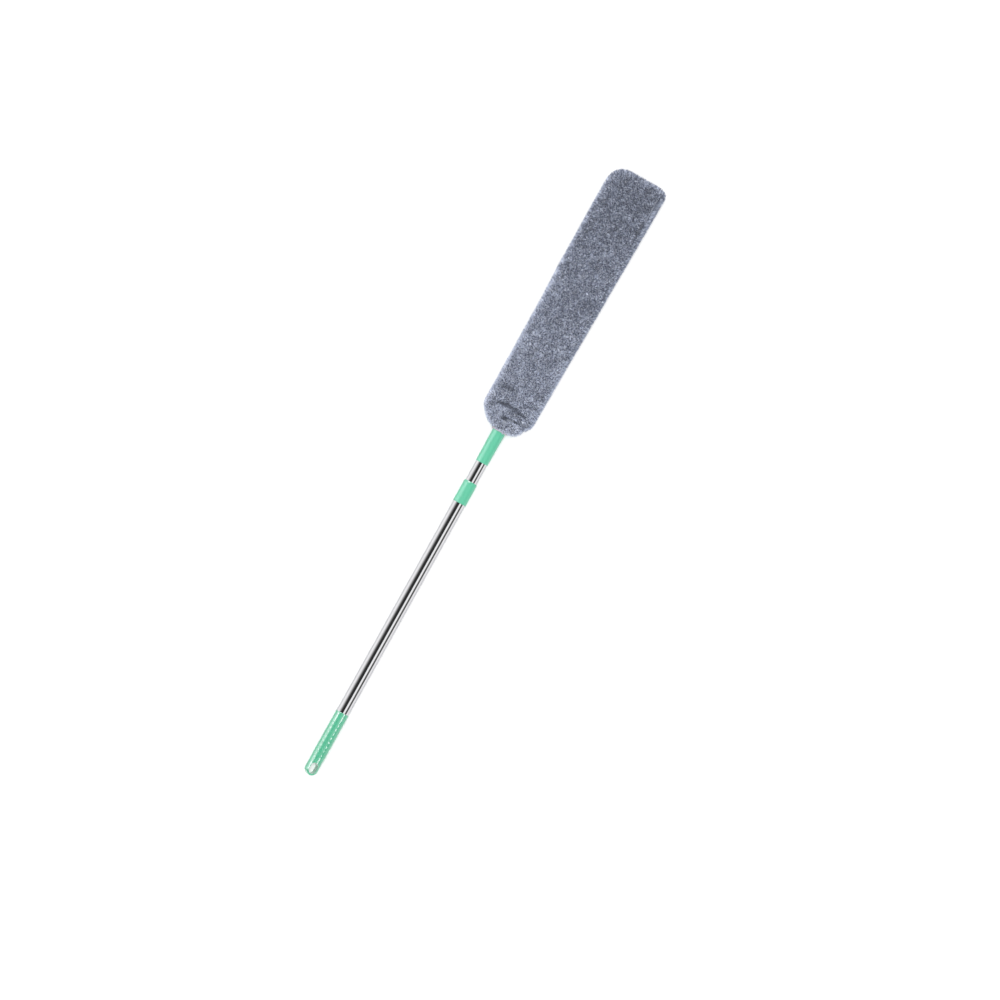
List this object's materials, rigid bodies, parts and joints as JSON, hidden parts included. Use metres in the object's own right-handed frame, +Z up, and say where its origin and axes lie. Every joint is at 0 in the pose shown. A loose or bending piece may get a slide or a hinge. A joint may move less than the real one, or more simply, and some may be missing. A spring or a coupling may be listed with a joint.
{
  "type": "telescopic plush duster",
  "caption": "Long flat plush dusting head on a telescopic chromed pole with plastic grip, collar and neck, and an oval hanging slot.",
  "frame": {"origin": "on the surface the duster lies on, under the pole's axis, midway along its length", "axes": "+X along the pole from the grip's end to the head's tip; +Z up, out of the head's broad front face; +Y across the head"},
  "size_m": [1.2496, 0.1116, 0.0325],
  "materials": {
    "green_plastic": "satin",
    "chrome": "polished",
    "steel": "satin",
    "nylon": "matte",
    "plush": "matte",
    "plush_trim": "matte",
    "elastic": "matte"
  },
  "bodies": {
    "pole": {"grip": "green_plastic", "outer_tube": "chrome", "guide_collar": "green_plastic"},
    "lock_sleeve": {"expander_sleeve": "nylon"},
    "lock_nut": {"lock_cone": "nylon"},
    "inner_pole": {"inner_tube": "chrome", "lock_spindle": "green_plastic", "spindle_pin": "steel", "stop_washer": "steel", "stop_screw": "steel", "tube_plug": "nylon", "neck_socket": "green_plastic", "socket_pin": "steel", "board": "green_plastic", "board_rivets": "steel"},
    "cover": {"plush_front": "plush", "plush_back": "plush", "side_seam": "plush_trim", "mouth_gather": "plush", "mouth_hem": "plush_trim", "mouth_elastic": "elastic"}
  },
  "joints": [
    {"name": "pole_extend", "type": "slide", "parent": "pole", "child": "lock_sleeve", "axis": [1, 0, 0], "range_m": [-0.0395, 0.449]},
    {"name": "twist_lock", "type": "hinge", "parent": "lock_sleeve", "child": "inner_pole", "pos_m": [-0.48, 0, 0.0155], "axis": [1, 0, 0], "range_deg": [0, 180]},
    {"name": "cone_travel", "type": "slide", "parent": "lock_sleeve", "child": "lock_nut", "axis": [-1, 0, 0], "range_m": [0, 0.0021]},
    {"name": "cover_pull_off", "type": "slide", "parent": "inner_pole", "child": "cover", "axis": [1, 0, 0], "range_m": [0, 0.56], "deforming": ["mouth_gather", "mouth_hem", "mouth_elastic"]}
  ],
  "couplings": [
    {"joint": "cone_travel", "follows": "twist_lock", "m_per_rad": 0.00063662}
  ]
}
